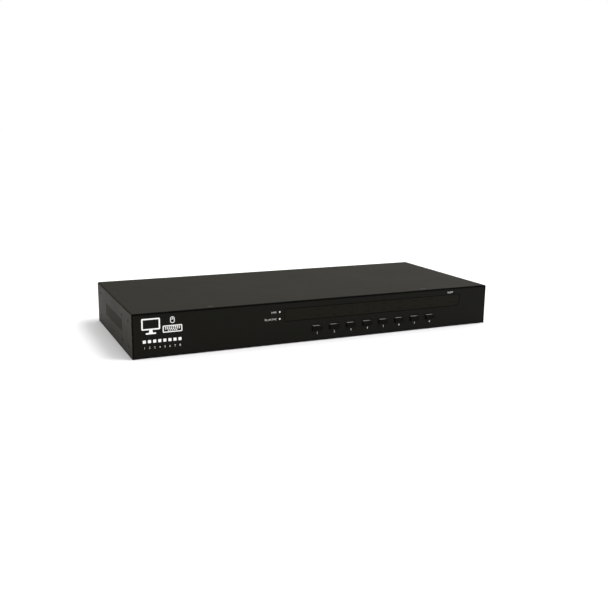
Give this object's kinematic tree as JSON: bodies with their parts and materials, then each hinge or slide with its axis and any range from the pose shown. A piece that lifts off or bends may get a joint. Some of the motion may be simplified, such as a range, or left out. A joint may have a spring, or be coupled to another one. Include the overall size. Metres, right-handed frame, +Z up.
{
  "type": "kvm switch",
  "caption": "Flat rack-width keyboard, video and mouse switch in a folded black case: push buttons and a smoked light window in front, computer and console ports behind.",
  "frame": {"origin": "centre of the case's underside, which rests on the surface", "axes": "+Z up, -Y out of the front panel, +X to the right as seen from the front"},
  "size_m": [0.402, 0.1771, 0.044],
  "materials": {
    "black_powder_coat": "fine-textured matt powder coat",
    "front_black": "matt black paint",
    "plated_steel": "zinc plated",
    "nickel": "bright nickel plate",
    "black_screw": "black oxide",
    "smoked_window": "smoked acrylic",
    "button_black": "moulded black plastic",
    "switch_black": "moulded",
    "reset_white": "moulded",
    "led_green": "tinted clear",
    "led_amber": "tinted clear",
    "board_green": "solder-masked glass fibre",
    "port_blue": "moulded",
    "port_black": "moulded",
    "port_purple": "moulded",
    "port_green": "moulded",
    "chip_black": "moulded epoxy",
    "can": "drawn can",
    "sleeve_black": "shrunk sleeve",
    "black_aluminium": "black anodised",
    "ribbon_grey": "PVC ribbon"
  },
  "bodies": {
    "case": {"top_cover": "black_powder_coat", "bottom_tray": "black_powder_coat", "front_panel": "front_black", "rear_panel": "black_powder_coat", "cover_screws": "black_screw", "led_window": "smoked_window", "channel_switches": "switch_black", "reset_switch": "switch_black", "link_lights": "led_green", "active_lights": "led_amber", "front_board": "board_green", "front_spacers": "plated_steel", "front_board_screws": "plated_steel", "main_board": "board_green", "board_posts": "plated_steel", "board_screws": "plated_steel", "monitor_port": "nickel", "computer_port_cores": "port_black", "monitor_port_core": "port_blue", "jack_nuts": "nickel", "keyboard_port": "port_purple", "mouse_port": "port_green", "power_inlet": "port_black", "inlet_pin": "nickel", "ground_screw": "nickel", "controller_chip": "chip_black", "video_chips": "chip_black", "capacitors": "sleeve_black", "heat_sink": "black_aluminium", "regulator": "chip_black", "crystal": "can", "front_header": "port_black", "board_header": "port_black", "ribbon_sockets": "port_black", "ribbon_cable": "ribbon_grey", "computer_port_1": "nickel", "computer_port_2": "nickel", "computer_port_3": "nickel", "computer_port_4": "nickel", "computer_port_5": "nickel", "computer_port_6": "nickel", "computer_port_7": "nickel", "computer_port_8": "nickel"},
    "button_1_body": {"button_1": "button_black"},
    "button_2_body": {"button_2": "button_black"},
    "button_3_body": {"button_3": "button_black"},
    "button_4_body": {"button_4": "button_black"},
    "button_5_body": {"button_5": "button_black"},
    "button_6_body": {"button_6": "button_black"},
    "button_7_body": {"button_7": "button_black"},
    "button_8_body": {"button_8": "button_black"},
    "reset_plunger_body": {"reset_plunger": "reset_white"}
  },
  "joints": [
    {"name": "button_1_press", "type": "slide", "parent": "case", "child": "button_1_body", "axis": [0, 1, 0], "range_m": [0, 0.0005], "stiffness_N_per_m": 1500, "springref_m": -0.0005},
    {"name": "button_2_press", "type": "slide", "parent": "case", "child": "button_2_body", "axis": [0, 1, 0], "range_m": [0, 0.0005], "stiffness_N_per_m": 1500, "springref_m": -0.0005},
    {"name": "button_3_press", "type": "slide", "parent": "case", "child": "button_3_body", "axis": [0, 1, 0], "range_m": [0, 0.0005], "stiffness_N_per_m": 1500, "springref_m": -0.0005},
    {"name": "button_4_press", "type": "slide", "parent": "case", "child": "button_4_body", "axis": [0, 1, 0], "range_m": [0, 0.0005], "stiffness_N_per_m": 1500, "springref_m": -0.0005},
    {"name": "button_5_press", "type": "slide", "parent": "case", "child": "button_5_body", "axis": [0, 1, 0], "range_m": [0, 0.0005], "stiffness_N_per_m": 1500, "springref_m": -0.0005},
    {"name": "button_6_press", "type": "slide", "parent": "case", "child": "button_6_body", "axis": [0, 1, 0], "range_m": [0, 0.0005], "stiffness_N_per_m": 1500, "springref_m": -0.0005},
    {"name": "button_7_press", "type": "slide", "parent": "case", "child": "button_7_body", "axis": [0, 1, 0], "range_m": [0, 0.0005], "stiffness_N_per_m": 1500, "springref_m": -0.0005},
    {"name": "button_8_press", "type": "slide", "parent": "case", "child": "button_8_body", "axis": [0, 1, 0], "range_m": [0, 0.0005], "stiffness_N_per_m": 1500, "springref_m": -0.0005},
    {"name": "reset_plunger_press", "type": "slide", "parent": "case", "child": "reset_plunger_body", "axis": [0, 1, 0], "range_m": [0, 0.0005], "stiffness_N_per_m": 1500, "springref_m": -0.0005}
  ]
}
